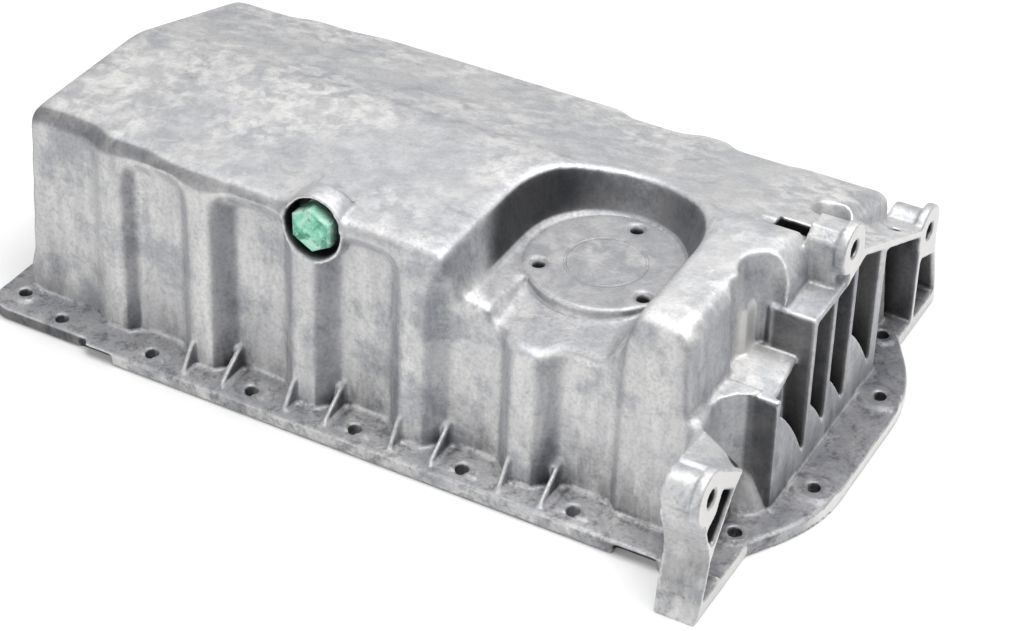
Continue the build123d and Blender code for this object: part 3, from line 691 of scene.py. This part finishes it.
def merged_copy(name):
    """A copy of a CAD node's mesh with its loose triangles joined."""
    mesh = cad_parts[name].data.copy()
    mesh.materials.clear()
    form = bmesh.new()
    form.from_mesh(mesh)
    bmesh.ops.remove_doubles(form, verts=form.verts, dist=WELD_DISTANCE)
    form.to_mesh(mesh)
    form.free()
    mesh.update()
    return mesh


def linked(name, data):
    """A new object in the scene."""
    made = bpy.data.objects.new(name, data)
    bpy.context.scene.collection.objects.link(made)
    return made


def applied(holder):
    """The mesh of an object with its modifiers applied; the object is removed."""
    seen = holder.evaluated_get(bpy.context.evaluated_depsgraph_get())
    mesh = bpy.data.meshes.new_from_object(seen)
    bpy.data.objects.remove(holder)
    return mesh


def piece(name, mesh, body, material):
    """A finished object of the scene that rides on a body."""
    made = linked(name, mesh)
    mesh.materials.clear()
    mesh.materials.append(material)
    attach(made, body)
    return made


class PAN_OT_casting(bpy.types.Operator):
    """Make the cast skin from the casting's solid, with soft cast edges."""

    bl_idname = "pan.casting"
    bl_label = "Cast skin"

    def execute(self, context):
        settings = context.scene.pan_casting
        holder = linked("passing", merged_copy("sump_casting"))
        remesh = holder.modifiers.new("even", "REMESH")
        remesh.mode = "VOXEL"
        remesh.voxel_size = settings.grain
        mesh = applied(holder)
        smoothed(mesh, settings.wall_rounds)
        holder = linked("passing", mesh)
        thin = holder.modifiers.new("thin", "DECIMATE")
        thin.ratio = settings.triangles / sum(len(f.vertices) - 2 for f in mesh.polygons)
        mesh = applied(holder)
        mesh.shade_smooth()
        put_attribute(mesh, "edge", edge_values(mesh, start=0.07, reach=0.2))
        # How closed in each point is, which the finish turns into painted shade
        put_attribute(mesh, "recess", recess_values(mesh))
        skin = piece("cast_skin", mesh, "casting", aluminium_material(settings))
        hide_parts("sump_casting")
        return {"FINISHED"}


def thread_tree():
    """A swept helix: the ridge of a screw thread."""
    tree = bpy.data.node_groups.new("thread_ridge", "GeometryNodeTree")
    tree.is_modifier = True
    for label, kind in (
        ("Geometry", "NodeSocketGeometry"), ("Radius", "NodeSocketFloat"), ("Pitch", "NodeSocketFloat"),
        ("Turns", "NodeSocketFloat"), ("Ridge", "NodeSocketFloat"), ("Material", "NodeSocketMaterial"),
    ):
        tree.interface.new_socket(label, in_out="INPUT", socket_type=kind)
    tree.interface.new_socket("Geometry", in_out="OUTPUT", socket_type="NodeSocketGeometry")
    given, result = tree.nodes.new("NodeGroupInput"), tree.nodes.new("NodeGroupOutput")
    spiral = tree.nodes.new("GeometryNodeCurveSpiral")
    spiral.inputs["Resolution"].default_value = 36
    height = math_node(tree, "MULTIPLY", given.outputs["Pitch"], given.outputs["Turns"])
    for label, value in (
        ("Rotations", given.outputs["Turns"]), ("Start Radius", given.outputs["Radius"]),
        ("End Radius", given.outputs["Radius"]), ("Height", height),
    ):
        tree.links.new(value, spiral.inputs[label])
    profile = tree.nodes.new("GeometryNodeCurvePrimitiveCircle")
    profile.inputs["Resolution"].default_value = 4
    tree.links.new(given.outputs["Ridge"], profile.inputs["Radius"])
    sweep = tree.nodes.new("GeometryNodeCurveToMesh")
    sweep.inputs["Fill Caps"].default_value = True
    tree.links.new(spiral.outputs[0], sweep.inputs["Curve"])
    tree.links.new(profile.outputs[0], sweep.inputs["Profile Curve"])
    real = tree.nodes.new("GeometryNodeRealizeInstances")
    tree.links.new(sweep.outputs[0], real.inputs[0])
    coat = tree.nodes.new("GeometryNodeSetMaterial")
    tree.links.new(real.outputs[0], coat.inputs["Geometry"])
    tree.links.new(given.outputs["Material"], coat.inputs["Material"])
    tree.links.new(coat.outputs[0], result.inputs[0])
    return tree


class PAN_OT_plug(bpy.types.Operator):
    """Make the green drain plug: its head, its shank and the ridge of its thread."""

    bl_idname = "pan.plug"
    bl_label = "Drain plug"

    def execute(self, context):
        settings = context.scene.pan_plug
        material = coating_material(settings)
        self.head(settings, material)
        self.thread(settings, material)
        return {"FINISHED"}

    def head(self, settings, material):
        """The plug with its shank thinned to the thread's root and its corners rounded."""
        mesh = merged_copy("drain_plug")
        points = points_of(mesh)
        away = points[:, [0, 2]] - (PLUG_AXIS.x, PLUG_AXIS.z)
        radius = np.hypot(away[:, 0], away[:, 1])
        shank = (radius < settings.crest_radius * 1.02) & (points[:, 1] > PLUG_AXIS.y - 0.0001)
        points[np.ix_(shank, [0, 2])] -= away[shank] * (1 - settings.core_radius / settings.crest_radius)
        set_points(mesh, points)
        holder = linked("passing", mesh)
        soft = holder.modifiers.new("soft_corners", "BEVEL")
        soft.width = settings.corner
        soft.segments = 3
        soft.limit_method = "ANGLE"
        soft.angle_limit = radians(28)
        mesh = applied(holder)
        mesh.shade_smooth()
        put_attribute(mesh, "edge", edge_values(mesh, start=0.0, reach=0.35))
        head = piece("plug_head", mesh, "plug", material)
        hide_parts("drain_plug")

    def thread(self, settings, material):
        """The ridge of the thread, wound round the thinned shank."""
        tree = thread_tree()
        holder = linked("passing", bpy.data.meshes.new("passing"))
        thread = holder.modifiers.new("thread", "NODES")
        thread.node_group = tree
        named = {item.name: item.identifier for item in tree.interface.items_tree if item.in_out == "INPUT"}
        for label, value in (
            ("Radius", settings.core_radius), ("Pitch", settings.pitch), ("Turns", settings.turns),
            ("Ridge", settings.crest_radius - settings.core_radius), ("Material", material),
        ):
            thread[named[label]] = value
        mesh = applied(holder)
        end = PLUG_AXIS + Vector((0, settings.thread_end, 0))
        mesh.transform(Matrix.Translation(end) @ Matrix.Rotation(radians(90), 4, "X"))
        put_attribute(mesh, "edge", np.zeros(len(mesh.vertices)))
        piece("plug_thread", mesh, "plug", material)


class PAN_OT_ring(bpy.types.Operator):
    """Give the seal ring its metal finish."""

    bl_idname = "pan.ring"
    bl_label = "Seal ring"

    def execute(self, context):
        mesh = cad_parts["seal_ring"].data
        mesh.materials.clear()
        mesh.materials.append(ring_material())
        return {"FINISHED"}


class PAN_OT_stage(bpy.types.Operator):
    """Lay the pale floor, hang the soft lamps and set the camera."""

    bl_idname = "pan.stage"
    bl_label = "Stage"

    def execute(self, context):
        settings = context.scene.pan_stage
        self.floor(settings)
        self.world(context)
        self.lamp("key_lamp", settings.key_power, size=1.3, at=(0.25, 0.1, 1.3), towards=(0.0, 0.0, 0.0))
        self.lamp("side_lamp", settings.side_power, size=0.8, at=(-0.5, -1.6, 0.5), towards=(0.0, 0.0, 0.05))
        self.camera(context, settings)
        context.scene.view_settings.view_transform = "Standard"
        return {"FINISHED"}

    def floor(self, settings):
        """A wide plane under the flange, a little lighter to the camera, with the object's shadow."""
        corners = [(FLOOR_HALF * side, FLOOR_HALF * end, 0) for side, end in ((-1, -1), (1, -1), (1, 1), (-1, 1))]
        mesh = bpy.data.meshes.new("floor")
        mesh.from_pydata(corners, [], [(0, 1, 2, 3)])
        mesh.transform(Matrix.Translation((0, 0, CAD_LOW.z - FLOOR_GAP)))
        material, tree, shader, _ = new_material("pale_floor")
        shader.inputs["Base Color"].default_value = (*settings.floor_tone, 1)
        shader.inputs["Roughness"].default_value = 0.9
        shader.inputs["Specular IOR Level"].default_value = 0.0
        shader.inputs["Emission Color"].default_value = (1, 1, 1, 1)
        rays = tree.nodes.new("ShaderNodeLightPath").outputs
        tree.links.new(
            math_node(tree, "MULTIPLY", rays["Is Camera Ray"], 0.10), shader.inputs["Emission Strength"])
        mesh.materials.append(material)
        linked("floor", mesh)

    def world(self, context):
        """White to the camera, a soft grey light for everything else."""
        world = bpy.data.worlds.new("studio")
        context.scene.world = world
        world.use_nodes = True
        tree = world.node_tree
        sky = tree.nodes["Background"]
        sky.inputs["Color"].default_value = (1, 1, 1, 1)
        rays = tree.nodes.new("ShaderNodeLightPath").outputs
        tree.links.new(
            math_node(tree, "MULTIPLY_ADD", rays["Is Camera Ray"], 0.75, 0.25), sky.inputs["Strength"])

    def lamp(self, name, power, size, at, towards):
        """A soft square lamp."""
        light = bpy.data.lights.new(name, "AREA")
        light.energy = power
        light.size = size
        made = linked(name, light)
        made.location = at
        made.rotation_euler = (Vector(towards) - Vector(at)).to_track_quat("-Z", "Y").to_euler()

    def camera(self, context, settings):
        """The photograph's viewpoint."""
        back = Vector(CAMERA_BACK).normalized()
        right = Vector((0, 0, 1)).cross(back).normalized()
        up = back.cross(right)
        turn = Matrix((right, up, back)).transposed() @ Matrix.Rotation(radians(CAMERA_ROLL), 3, "Z")
        data = bpy.data.cameras.new("camera")
        data.lens = settings.lens
        data.sensor_width = SENSOR_WIDTH
        data.clip_start = 0.01
        made = linked("camera", data)
        made.matrix_world = Matrix.Translation(CAMERA_AT) @ turn.to_4x4()
        context.scene.camera = made


class PAN_PT_sidebar(bpy.types.Panel):
    """Lists what makes the oil pan's looks."""

    bl_label = "Oil Pan"
    bl_idname = "PAN_PT_sidebar"
    bl_space_type = "VIEW_3D"
    bl_region_type = "UI"
    bl_category = "Oil Pan"

    def draw(self, context):
        for label, settings, operator in PARTS:
            box = self.layout.box()
            box.operator(operator.bl_idname, text=label)
            if settings:
                group = getattr(context.scene, settings)
                for name in group.bl_rna.properties.keys():
                    if name not in ("rna_type", "name"):
                        box.prop(group, name)


PARTS = (
    ("Cast skin", "pan_casting", PAN_OT_casting),
    ("Drain plug", "pan_plug", PAN_OT_plug),
    ("Seal ring", None, PAN_OT_ring),
    ("Stage", "pan_stage", PAN_OT_stage),
)
GROUPS = {"pan_casting": PanCasting, "pan_plug": PanPlug, "pan_stage": PanStage}


def register():
    """Register the settings, the operators and the panel."""
    for name, kind in GROUPS.items():
        bpy.utils.register_class(kind)
        setattr(bpy.types.Scene, name, bpy.props.PointerProperty(type=kind))
    for _, _, operator in PARTS:
        bpy.utils.register_class(operator)
    bpy.utils.register_class(PAN_PT_sidebar)


def unregister():
    """Take everything out again."""
    bpy.utils.unregister_class(PAN_PT_sidebar)
    for _, _, operator in reversed(PARTS):
        bpy.utils.unregister_class(operator)
    for name, kind in GROUPS.items():
        delattr(bpy.types.Scene, name)
        bpy.utils.unregister_class(kind)


def main():
    """Make every piece."""
    register()
    mottling_group()
    wear_and_highlight_group()
    bpy.ops.pan.casting()
    bpy.ops.pan.plug()
    bpy.ops.pan.ring()
    bpy.ops.pan.stage()


if __name__ == "__main__":
    main()
